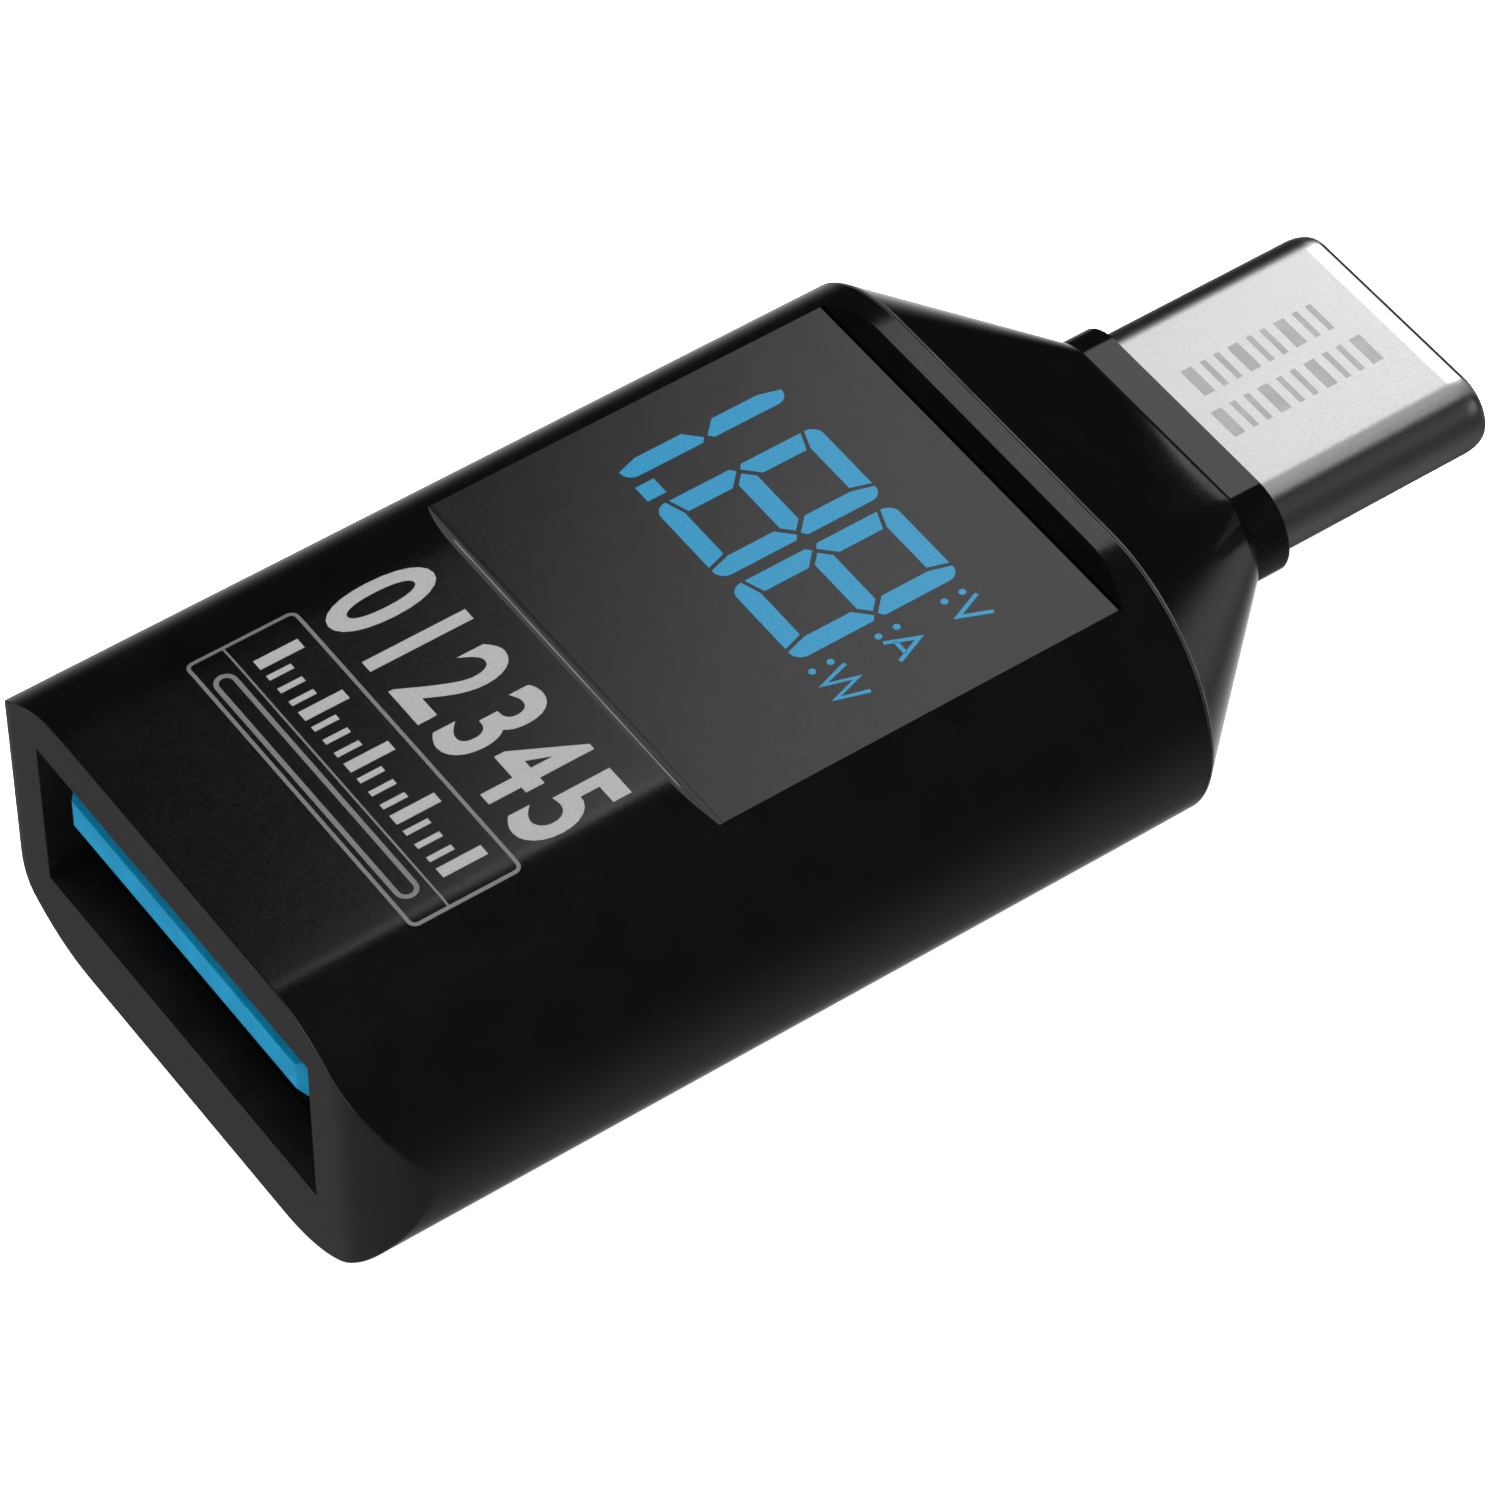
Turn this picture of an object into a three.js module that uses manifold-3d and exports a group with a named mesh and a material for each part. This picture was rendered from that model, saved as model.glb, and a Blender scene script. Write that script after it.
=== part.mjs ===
// In-line USB power meter: a USB-A socket at one end, a USB-C plug at the other, and a
// three-digit segment display in between. Millimetres, +Z up, +X from the socket to the plug,
// +Y to the left when looking along +X. The origin is at the middle of the object, on the
// surface it lies on. Inside this file every x is counted from the socket's end face.

import * as THREE from "three";
import { mergeVertices } from "three/addons/utils/BufferGeometryUtils.js";
import Module from "manifold-3d";

const wasm = await Module();
wasm.setup();

// ---------------------------------------------------------------- driving dimensions

const gap = 0.05;                     // assembly clearance between neighbouring pieces
const arc_steps = 14;                 // facets on each half-round end of a flat-oval section

// Outer body, a flat oval: two flats joined by half-round sides
const body_width = 18.12;
const body_height = 9.07;
const mid_z = body_height / 2;
const sleeve_end = 25.17;             // the seam between the sleeve and the nose
const nose_start = sleeve_end + 0.04;
const taper_end = 30.17;
const collar_end = 31.16;
const tip = 38.1;                     // the plug's mouth, and the object's far end
const collar_width = 9.06;
const collar_height = 2.95;
const end_corner_radius = 1.9;        // roll of the socket end, seen from above
const wall = 1.1;
const end_wall = 1.3;

// Display notch across the top, with 45 degree ends
const notch_depth = 0.43;
const notch_start = 11.86;
const notch_end = 24.12;
const window_thickness = 0.4;
const window_half_width = 6.39;
const aperture = { x0: 14.1, x1: 23.65, half_width: 5.85 };
const display = { x0: 14.25, x1: 23.5, half_width: 5.7 };

// Digits, as cavities of the display's reflector
const digit_width = 2.95;
const digit_height = 5.03;
const digit_pitch = 3.32;
const digit_centre_x = 18.99;
const stroke = 0.56;
const second_digit_y = 1.605;         // centre of the middle digit

// USB-A socket
const socket_width = 12.34;
const socket_height = 4.96;
const socket_z = 4.977;
const socket_steel = 0.28;
const socket_shell_end = 13.7;
const base_start = 12;
const base_end = 13.4;
const tongue_front = 0.28;
const tongue_half_width = 5.5;
const tongue_chamfer = 0.4;
const tongue_bottom = socket_z - 0.08;
const tongue_top = socket_z + 1.63;

// USB-C plug
const plug_width = 8.3;
const plug_height = 2.42;
const plug_steel = 0.3;
const plug_shell_start = 27.6;
const insulator_start = 28.5;
const insulator_end = 37.3;
const lip_length = 0.68;
const lip_drop = 0.4;
const contact_pitch = 0.5;
const contacts_per_row = 12;

// Circuit board, on the middle plane so that the plug straddles it. It is widest behind the
// socket, narrower inside the nose's spigot, and a tail between the plug's contact rows.
const board_start = 13.9;
const board_end = 28.2;
const board_thickness = 0.8;
const board_top = mid_z + board_thickness / 2;
const board_bottom = mid_z - board_thickness / 2;
const board_half_width = { body: 7.1, spigot: 6.3, tail: 3.3 };
const board_spigot_start = 24;
const board_tail_start = 25.9;
const solder = 0.03;                  // film of solder under or over each soldered part

// ---------------------------------------------------------------- materials

const gloss_black = new THREE.MeshStandardMaterial({ color: 0x0d0d0f, roughness: 0.12 });
const smoked = new THREE.MeshStandardMaterial({ color: 0x3a3b3c, roughness: 0.5 });
const tongue_blue = new THREE.MeshStandardMaterial({ color: 0x1c86c4, roughness: 0.55 });
const dark_steel = new THREE.MeshStandardMaterial({ color: 0x1a1b1c, roughness: 0.4, metalness: 1 });
const satin_steel = new THREE.MeshStandardMaterial({ color: 0xcfd0d2, roughness: 0.35, metalness: 1 });
const gold = new THREE.MeshStandardMaterial({ color: 0xd8ac4e, roughness: 0.3, metalness: 1 });
const black_plastic = new THREE.MeshStandardMaterial({ color: 0x161616, roughness: 0.6 });
const white_plastic = new THREE.MeshStandardMaterial({ color: 0xe4e4e0, roughness: 0.7 });
const board_green = new THREE.MeshStandardMaterial({ color: 0x14502f, roughness: 0.5 });
const diffuser_film = new THREE.MeshStandardMaterial({ color: 0xc9d4dc, roughness: 0.6 });
const ceramic = new THREE.MeshStandardMaterial({ color: 0xb59a78, roughness: 0.7 });

// ---------------------------------------------------------------- solids

function toSolid(geometry) {
  const bare = geometry.clone();
  bare.deleteAttribute("normal");
  bare.deleteAttribute("uv");
  const merged = mergeVertices(bare, 1e-5);
  const vertProperties = new Float32Array(merged.attributes.position.array);
  const triVerts = new Uint32Array(merged.index.array);
  return new wasm.Manifold(new wasm.Mesh({ numProp: 3, vertProperties, triVerts }));
}

function toGeometry(solid) {
  const mesh = solid.getMesh();
  const geometry = new THREE.BufferGeometry();
  geometry.setAttribute("position", new THREE.BufferAttribute(mesh.vertProperties, 3));
  geometry.setIndex(new THREE.BufferAttribute(mesh.triVerts, 1));
  return geometry;
}

function box(x0, x1, y0, y1, z0, z1) {
  const geometry = new THREE.BoxGeometry(x1 - x0, y1 - y0, z1 - z0);
  geometry.translate((x0 + x1) / 2, (y0 + y1) / 2, (z0 + z1) / 2);
  return toSolid(geometry);
}

// A box that is the same on both sides of the middle
function wideBox(x0, x1, half_width, z0, z1) {
  return box(x0, x1, -half_width, half_width, z0, z1);
}

function extrude(shape, depth, steps = 1) {
  return new THREE.ExtrudeGeometry(shape, {
    depth, steps, bevelEnabled: false, curveSegments: arc_steps,
  });
}

function polygon(points) {
  return new THREE.Shape(points.map(([u, v]) => new THREE.Vector2(u, v)));
}

// An outline given by its half on the +y side, from one end to the other
function bothSides(half) {
  return polygon([...half, ...half.map(([x, y]) => [x, -y]).reverse()]);
}

// A section drawn in (y, z), extruded along x
function alongX(shape, x0, x1, steps = 1) {
  const geometry = extrude(shape, x1 - x0, steps);
  geometry.applyMatrix4(new THREE.Matrix4().set(
    0, 0, 1, x0,
    1, 0, 0, 0,
    0, 1, 0, 0,
    0, 0, 0, 1,
  ));
  return geometry;
}

// A profile drawn in (x, z), extruded across y
function alongY(shape, y0, y1) {
  const geometry = extrude(shape, y1 - y0);
  geometry.applyMatrix4(new THREE.Matrix4().set(
    1, 0, 0, 0,
    0, 0, -1, y1,
    0, 1, 0, 0,
    0, 0, 0, 1,
  ));
  return toSolid(geometry);
}

// An outline drawn in (x, y), extruded upwards
function alongZ(shape, z0, z1) {
  const geometry = extrude(shape, z1 - z0);
  geometry.translate(0, 0, z0);
  return toSolid(geometry);
}

// Flat oval about the x axis: half-round sides of the given radius, flats between them
function flatOval(width, height) {
  const radius = height / 2;
  const centre = width / 2 - radius;
  const shape = new THREE.Shape();
  shape.absarc(centre, 0, radius, -Math.PI / 2, Math.PI / 2);
  shape.absarc(-centre, 0, radius, Math.PI / 2, 1.5 * Math.PI);
  return shape;
}

// A flat-oval bar on the body's middle plane. When far_width and far_height are given, the
// section changes along the bar: ease(t) says how far it has gone at the fraction t.
function ovalBar(x0, x1, width, height, far_width = width, far_height = height,
                 steps = 1, ease = (t) => t) {
  const geometry = alongX(flatOval(width, height), x0, x1, steps);
  const position = geometry.attributes.position;
  const centre = (width - height) / 2;
  const far_centre = (far_width - far_height) / 2;
  for (let i = 0; i < position.count; i++) {
    const t = ease((position.getX(i) - x0) / (x1 - x0));
    const y = position.getY(i);
    const side = Math.sign(y) * Math.min(Math.abs(y), centre);
    const shrink = 1 + (far_height / height - 1) * t;
    const move = 1 + (far_centre / centre - 1) * t;
    position.setY(i, side * move + (y - side) * shrink);
    position.setZ(i, position.getZ(i) * shrink + mid_z);
  }
  return toSolid(geometry);
}

// A bent strip: a centre line of (x, z) points with a thickness, mitred at each bend
function bentStrip(points, thickness, y, width) {
  const line = points.map(([x, z]) => new THREE.Vector2(x, z));
  const above = [];
  const below = [];
  for (let i = 0; i < line.length; i++) {
    const before = line[Math.max(i - 1, 0)];
    const after = line[Math.min(i + 1, line.length - 1)];
    const into = line[i].clone().sub(before).normalize();
    const out = after.clone().sub(line[i]).normalize();
    const tangent = into.add(out).normalize();
    const along = (i === 0 ? after.clone().sub(line[0]) : line[i].clone().sub(before)).normalize();
    const mitre = thickness / 2 / Math.max(tangent.dot(along), 0.5);
    const normal = new THREE.Vector2(-tangent.y, tangent.x).multiplyScalar(mitre);
    above.push(line[i].clone().add(normal));
    below.push(line[i].clone().sub(normal));
  }
  return alongY(new THREE.Shape([...below, ...above.reverse()]), y - width / 2, y + width / 2);
}

// ---------------------------------------------------------------- the assembly

const meter = new THREE.Group();
meter.name = "usb_power_meter";
const assembly = new THREE.Group();
assembly.position.x = -tip / 2;
meter.add(assembly);

function place(name, solid, material) {
  const mesh = new THREE.Mesh(toGeometry(solid), material);
  mesh.name = name;
  assembly.add(mesh);
}

// ---------------------------------------------------------------- housing

// Upright bar whose corners at the socket's end are rolled, seen from above
function rolledEnd() {
  const half = body_width / 2;
  const r = end_corner_radius;
  const shape = new THREE.Shape();
  shape.moveTo(sleeve_end, -half);
  shape.lineTo(sleeve_end, half);
  shape.absarc(r, half - r, r, Math.PI / 2, Math.PI);
  shape.absarc(r, r - half, r, Math.PI, 1.5 * Math.PI);
  return alongZ(shape, -1, body_height + 1);
}

// The notch that the display lies in, as a cutter
function notch() {
  const floor = body_height - notch_depth;
  const rise = notch_depth + 1;
  return alongY(polygon([
    [notch_start, floor],
    [notch_end, floor],
    [notch_end + rise, floor + rise],
    [notch_start - rise, floor + rise],
  ]), -body_width, body_width);
}

const window_floor = body_height - notch_depth - window_thickness;
const socket_half = { y: socket_width / 2 + socket_steel, z: socket_height / 2 + socket_steel };

// Two ledges carry the circuit board's edges
function boardLedge(side) {
  const inner = socket_half.y + 2 * gap;
  const outer = body_width / 2 - wall + 0.2;
  const ledge = box(end_wall - 0.1, sleeve_end - 1.1, inner, outer, board_bottom - 0.5,
                    board_bottom - gap);
  return side > 0 ? ledge : ledge.mirror([0, 1, 0]);
}

function bodySleeve() {
  const window_gap = gap / 2;
  const socket_run = wideBox(end_wall, sleeve_end + 1, socket_half.y + gap,
                             socket_z - socket_half.z - gap, socket_z + socket_half.z + gap);
  return ovalBar(0, sleeve_end, body_width, body_height)
    .intersect(rolledEnd())
    .subtract(ovalBar(end_wall, sleeve_end + 1, body_width - 2 * wall, body_height - 2 * wall))
    .subtract(socket_run)
    .add(boardLedge(1))
    .add(boardLedge(-1))
    .subtract(wideBox(-1, end_wall + 1, socket_width / 2, socket_z - socket_height / 2,
                      socket_z + socket_height / 2))
    .subtract(notch())
    .subtract(wideBox(notch_start + gap, notch_end - gap, window_half_width + window_gap,
                      window_floor - window_gap, body_height))
    .subtract(wideBox(aperture.x0, aperture.x1, aperture.half_width, mid_z + 2, body_height));
}

// The nose: a spigot in the sleeve, the tapered part, and the collar round the plug
function noseCap() {
  const spigot_start = sleeve_end - 0.95;
  const spigot_width = body_width - 2 * wall - 2 * gap;
  const spigot_height = body_height - 2 * wall - 2 * gap;
  const cavity_end = 29.2;
  const cavity_width = 14.2;
  const cavity_height = 5.2;
  return ovalBar(nose_start, taper_end, body_width, body_height, collar_width, collar_height)
    .add(ovalBar(taper_end, collar_end, collar_width, collar_height))
    .add(ovalBar(spigot_start, nose_start, spigot_width, spigot_height))
    .subtract(ovalBar(spigot_start - 1, nose_start, cavity_width, cavity_height))
    .subtract(ovalBar(nose_start, cavity_end, cavity_width, cavity_height, 9, 2.9))
    .subtract(ovalBar(cavity_end - 1, collar_end + 1, plug_width + gap, plug_height + gap));
}

function displayWindow() {
  return wideBox(notch_start + 2 * gap, notch_end - 2 * gap, window_half_width, window_floor,
                 body_height - notch_depth);
}

place("body_sleeve", bodySleeve(), gloss_black);
place("nose_cap", noseCap(), gloss_black);
place("display_window", displayWindow(), smoked);

// ---------------------------------------------------------------- display

const display_board_bottom = 5.5;
const display_board_top = 6.1;
const reflector_top = 7.66;
const diffuser_top = 7.76;
const film = 0.02;                    // play between the reflector and the diffuser on it
const segment_wall = 0.06;            // wall between two neighbouring segment cavities
const header = { x0: 15.4, x1: 23, y0: 4.7, y1: 5.4 };

// One digit's seven segments as [x0, x1, y0, y1] boxes, lit or not
function digitSegments(centre_y) {
  const half_w = digit_width / 2;
  const half_h = digit_height / 2;
  const inset = stroke / 2 + segment_wall;
  const bars = [half_h - stroke / 2, 0, stroke / 2 - half_h].map((x) => [
    digit_centre_x + x - stroke / 2, digit_centre_x + x + stroke / 2,
    centre_y - half_w + stroke + inset / 2, centre_y + half_w - stroke - inset / 2,
  ]);
  const posts = [];
  for (const end of [-1, 1]) {
    for (const side of [-1, 1]) {
      const x = digit_centre_x + end * half_h / 2;
      const y = centre_y + side * (half_w - stroke / 2);
      const reach = half_h / 2 - inset;
      posts.push([x - reach, x + reach, y - stroke / 2, y + stroke / 2]);
    }
  }
  return [...bars, ...posts];
}

function displayReflector() {
  let block = wideBox(display.x0, display.x1, display.half_width, display_board_top + gap,
                      reflector_top);
  const digits = [second_digit_y + digit_pitch, second_digit_y, second_digit_y - digit_pitch];
  for (const [x0, x1, y0, y1] of digits.flatMap(digitSegments)) {
    block = block.subtract(box(x0, x1, y0, y1, display_board_top, reflector_top + 1));
  }
  return block;
}

place("display_board", wideBox(display.x0, display.x1, display.half_width,
                               display_board_bottom, display_board_top), board_green);
place("display_reflector", displayReflector(), white_plastic);
place("display_diffuser", wideBox(display.x0, display.x1, display.half_width,
                                  reflector_top + film, diffuser_top), diffuser_film);
const leftHeader = box(header.x0, header.x1, header.y0, header.y1, board_top + solder,
                       display_board_bottom - solder);
place("display_header_left", leftHeader, black_plastic);
place("display_header_right", leftHeader.mirror([0, 1, 0]), black_plastic);

// ---------------------------------------------------------------- circuit board and its parts

function mainBoard() {
  const half = board_half_width;
  const outline = bothSides([
    [board_start, half.body], [board_spigot_start, half.body],
    [board_spigot_start, half.spigot], [board_tail_start, half.spigot],
    [board_tail_start, half.tail], [board_end, half.tail],
  ]);
  return alongZ(outline, board_bottom, board_top);
}

// A part soldered under the board, given by its centre and its size
function underBoard(x, y, length, width, height) {
  const top = board_bottom - solder;
  return box(x - length / 2, x + length / 2, y - width / 2, y + width / 2, top - height, top);
}

place("main_board", mainBoard(), board_green);
place("meter_chip", underBoard(18.4, 2.3, 4, 4, 0.85), black_plastic);
place("regulator_chip", underBoard(22.6, 3.4, 2.9, 1.6, 1.1), black_plastic);
place("shunt_resistor", underBoard(22, -3, 3.2, 6.3, 0.6), ceramic);
place("esd_array_1", underBoard(16.5, -1.5, 1.2, 1.6, 0.6), black_plastic);
place("esd_array_2", underBoard(16.5, -4, 1.2, 1.6, 0.6), black_plastic);
for (let i = 0; i < 4; i++) {
  place(`capacitor_${i + 1}`, underBoard(16.6 + 2.1 * i, 5.4, 1.6, 0.8, 0.8), ceramic);
}

// ---------------------------------------------------------------- USB-A socket

// The four contacts under the tongue and the five inside it, at the standard's places
const usb2 = { y: [3.5, 1, -1, -3.5], width: 1, thickness: 0.15, z: 4.79 };
const fast = { y: [4, 2, 0, -2, -4], width: 0.5, thickness: 0.15, z: 5.32 };
const channel_play = 0.03;            // play beside and over a contact in its channel
const tail_start = 13.72;             // where the contacts' tails lie down on the board
const tail_end = 15.2;
const finger = { x0: 3.6, x1: 8.6, y: 3.1, half_width: 1, slot: 0.2 };

// A spring finger's outline as a U-shaped slot through the shell's top and bottom
function fingerSlot(y) {
  const { x0, x1, slot } = finger;
  const y0 = y - finger.half_width;
  const y1 = y + finger.half_width;
  const low = socket_z - socket_half.z - 1;
  const high = socket_z + socket_half.z + 1;
  return box(x0, x0 + slot, y0, y1, low, high)
    .add(box(x0, x1, y0, y0 + slot, low, high))
    .add(box(x0, x1, y1 - slot, y1, low, high));
}

function socketShell() {
  const x0 = end_wall + gap;
  return wideBox(x0, socket_shell_end, socket_half.y, socket_z - socket_half.z,
                 socket_z + socket_half.z)
    .subtract(wideBox(x0 - 1, socket_shell_end + 1, socket_width / 2,
                      socket_z - socket_height / 2, socket_z + socket_height / 2))
    .subtract(fingerSlot(finger.y))
    .subtract(fingerSlot(-finger.y));
}

// The tongue's front edge is chamfered above, below and at both sides
function socketTongue() {
  const c = tongue_chamfer;
  const side_view = alongY(polygon([
    [tongue_front, tongue_bottom + c], [tongue_front + c, tongue_bottom],
    [base_start + 0.1, tongue_bottom], [base_start + 0.1, tongue_top],
    [tongue_front + c, tongue_top], [tongue_front, tongue_top - c],
  ]), -tongue_half_width, tongue_half_width);
  const top_view = alongZ(polygon([
    [tongue_front, -tongue_half_width + c], [tongue_front + c, -tongue_half_width],
    [base_start + 1, -tongue_half_width], [base_start + 1, tongue_half_width],
    [tongue_front + c, tongue_half_width], [tongue_front, tongue_half_width - c],
  ]), 0, body_height);
  return side_view.intersect(top_view);
}

function socketInsulator() {
  const pad_pocket = { x0: 0.7, x1: 2.75 };
  let body = socketTongue().add(wideBox(base_start, base_end, socket_width / 2 - gap,
                                        socket_z - socket_height / 2 + gap,
                                        socket_z + socket_height / 2 - gap));
  for (const y of usb2.y) {
    const half = usb2.width / 2 + channel_play;
    body = body.subtract(box(base_start - 1, base_end + 1, y - half, y + half,
                             usb2.z - usb2.thickness / 2 - channel_play, tongue_bottom));
  }
  for (const y of fast.y) {
    const half = fast.width / 2 + channel_play;
    const low = fast.z - fast.thickness / 2 - channel_play;
    const high = fast.z + fast.thickness / 2 + channel_play;
    body = body
      .subtract(box(pad_pocket.x0, pad_pocket.x1, y - half, y + half, tongue_bottom - 1, high))
      .subtract(box(pad_pocket.x1 - 1, base_end + 1, y - half, y + half, low, high));
  }
  return body;
}

// Spring contact: a bowed nose under the tongue, then a run through the base to the board
function usb2Contact(y) {
  const tail_z = board_bottom - solder - usb2.thickness / 2;
  return bentStrip([[3, 4.7], [4.2, 4.44], [5.6, usb2.z], [13.5, usb2.z], [tail_start, tail_z],
                    [tail_end, tail_z]], usb2.thickness, y, usb2.width);
}

// Fixed contact: a pad under the tongue's front, a step up, and a run inside the tongue
function fastContact(y) {
  const pad_z = tongue_bottom + 0.04;
  const tail_z = board_top + solder + fast.thickness / 2;
  return bentStrip([[0.76, pad_z], [2.3, pad_z], [2.6, fast.z], [13.5, fast.z],
                    [tail_start, tail_z], [tail_end, tail_z]], fast.thickness, y, fast.width);
}

place("socket_shell", socketShell(), dark_steel);
place("socket_insulator", socketInsulator(), tongue_blue);
usb2.y.forEach((y, i) => place(`socket_contact_${i + 1}`, usb2Contact(y), gold));
fast.y.forEach((y, i) => place(`socket_fast_contact_${i + 1}`, fastContact(y), gold));

// ---------------------------------------------------------------- USB-C plug

const slot_half_height = 0.45;
const slot_half_width = 3.375;
const slot_start = 30.5;
const insulator_height = 1.58;
const insulator_parting = 0.02;
const insulator_width = plug_width - 2 * plug_steel - 0.24;
const latch = {
  x0: 28.7, bar: 30.3, x1: 36.4, inner: 3.1, outer: 3.42, hook: 2.9, half_thickness: 0.075,
};
const plug_channel = { end: 37, half_width: 0.14, low: 0.36, high: 0.71 };
const spring = { x0: 33, x1: 33.9, end: 36.2, half_width: 2.7, low: 0.81, high: 0.89 };

// Quarter-ellipse: the lip curls in over its last stretch
const lipEase = (t) => 1 - Math.sqrt(Math.max(1 - t * t, 0));

function plugShell() {
  const straight_end = tip - lip_length;
  const curl = lip_drop * 2;
  const bore_width = plug_width - 2 * plug_steel;
  const bore_height = plug_height - 2 * plug_steel;
  const mouth_width = plug_width - curl;
  const mouth_height = plug_height - curl;
  return ovalBar(plug_shell_start, straight_end, plug_width, plug_height)
    .add(ovalBar(straight_end, tip, plug_width, plug_height, mouth_width, mouth_height, 6,
                 lipEase))
    .subtract(ovalBar(plug_shell_start - 1, straight_end + 0.3, bore_width, bore_height))
    .subtract(ovalBar(straight_end, tip + 1, mouth_width, mouth_height));
}

// Places of the contacts across the plug, from the left
const plugContactY = [];
for (let i = 0; i < contacts_per_row; i++) {
  plugContactY.push(contact_pitch * ((contacts_per_row - 1) / 2 - i));
}

// Moulded in two halves, above and below the latch plate
function plugInsulator(side) {
  const latch_low = mid_z - latch.half_thickness - 0.025;
  const latch_high = mid_z + latch.half_thickness + 0.025;
  const parting = mid_z + side * insulator_parting / 2;
  const far = mid_z + side * insulator_height;
  let body = ovalBar(insulator_start, insulator_end, insulator_width, insulator_height)
    .subtract(wideBox(slot_start, tip, slot_half_width, mid_z - slot_half_height,
                      mid_z + slot_half_height))
    .subtract(wideBox(latch.x0 - 2 * gap, slot_start + 2 * gap, latch.outer + gap, latch_low,
                              latch_high));
  for (const hand of [-1, 1]) {
    const inner = hand * (latch.hook - gap);
    const outer = hand * (latch.outer + gap);
    body = body.subtract(box(slot_start - 0.4, latch.x1 + 0.3, Math.min(inner, outer),
                             Math.max(inner, outer), latch_low, latch_high));
  }
  for (const y of plugContactY) {
    const z0 = mid_z + side * plug_channel.low;
    const z1 = mid_z + side * plug_channel.high;
    body = body.subtract(box(insulator_start - 1, plug_channel.end,
                             y - plug_channel.half_width, y + plug_channel.half_width,
                             Math.min(z0, z1), Math.max(z0, z1)));
  }
  return body.intersect(wideBox(insulator_start - 1, tip, plug_width, Math.min(parting, far),
                                Math.max(parting, far)));
}

function plugContact(y, side) {
  const line = [[26.9, 0.49], [28.7, 0.49], [30.2, 0.63], [34.8, 0.63], [36, 0.42], [36.7, 0.54]];
  return bentStrip(line.map(([x, z]) => [x, mid_z + side * z]), 0.1, y, 0.22);
}

// The middle plate: a bar across the back with two hooked latch arms
function plugLatchPlate() {
  const outline = bothSides([
    [latch.x0, latch.outer], [latch.x1, latch.outer], [latch.x1 - 0.3, latch.hook],
    [latch.x1 - 0.8, latch.inner], [latch.bar, latch.inner],
  ]);
  return alongZ(outline, mid_z - latch.half_thickness, mid_z + latch.half_thickness);
}

// Comb-shaped spring that earths the shell, one on each face of the insulator
function groundSpring(side) {
  const finger_half = 0.55;
  const z0 = mid_z + side * spring.low;
  const z1 = mid_z + side * spring.high;
  const low = Math.min(z0, z1);
  const high = Math.max(z0, z1);
  let comb = wideBox(spring.x0, spring.x1, spring.half_width, low, high);
  for (const y of [-2.1, 0, 2.1]) {
    comb = comb.add(box(spring.x1 - 0.1, spring.end, y - finger_half, y + finger_half, low, high));
  }
  return comb;
}

place("plug_shell", plugShell(), satin_steel);
place("plug_insulator_upper", plugInsulator(1), black_plastic);
place("plug_insulator_lower", plugInsulator(-1), black_plastic);
place("plug_latch_plate", plugLatchPlate(), satin_steel);
place("ground_spring_top", groundSpring(1), satin_steel);
place("ground_spring_bottom", groundSpring(-1), satin_steel);
plugContactY.forEach((y, i) => {
  place(`plug_contact_upper_${i + 1}`, plugContact(y, 1), gold);
  place(`plug_contact_lower_${i + 1}`, plugContact(y, -1), gold);
});

export default meter;
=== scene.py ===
"""In-line USB power meter: how it looks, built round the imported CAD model.

Blender objects are in metres, in the CAD's frame. Sizes below are millimetres: x is counted from
the socket's end face, y is to the left and z is up from the surface that the meter lies on.
"""

import math

import bmesh
import bpy
from mathutils import Matrix, Vector

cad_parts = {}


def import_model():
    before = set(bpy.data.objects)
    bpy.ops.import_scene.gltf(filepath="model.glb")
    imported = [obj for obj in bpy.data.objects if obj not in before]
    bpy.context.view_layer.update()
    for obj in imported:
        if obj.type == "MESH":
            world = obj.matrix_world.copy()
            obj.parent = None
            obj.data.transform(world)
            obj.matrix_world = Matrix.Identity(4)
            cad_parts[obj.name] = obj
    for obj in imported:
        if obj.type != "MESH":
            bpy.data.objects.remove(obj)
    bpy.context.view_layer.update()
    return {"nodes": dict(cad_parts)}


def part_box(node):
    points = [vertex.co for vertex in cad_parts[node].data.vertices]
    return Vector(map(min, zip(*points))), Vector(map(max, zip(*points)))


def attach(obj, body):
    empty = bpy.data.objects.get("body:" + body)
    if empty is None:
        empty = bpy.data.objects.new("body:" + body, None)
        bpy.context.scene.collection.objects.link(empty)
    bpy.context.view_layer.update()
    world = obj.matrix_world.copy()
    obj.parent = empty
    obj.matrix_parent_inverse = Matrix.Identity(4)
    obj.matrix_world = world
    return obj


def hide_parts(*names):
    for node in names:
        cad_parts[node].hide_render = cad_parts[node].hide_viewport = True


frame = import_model()

MM = 0.001
LEFT_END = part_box("body_sleeve")[0].x


def box_mm(node):
    """Lowest and highest corner of a CAD node, in millimetres from the socket's end face."""
    shift = Vector((LEFT_END, 0, 0))
    return [(corner - shift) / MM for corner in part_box(node)]


def to_frame(point):
    return Vector((LEFT_END + point[0] * MM, point[1] * MM, point[2] * MM))


# ---------------------------------------------------------------- driving sizes, from the frame

SLEEVE = box_mm("body_sleeve")
NOSE = box_mm("nose_cap")
WINDOW = box_mm("display_window")
PLUG = box_mm("plug_shell")

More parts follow.
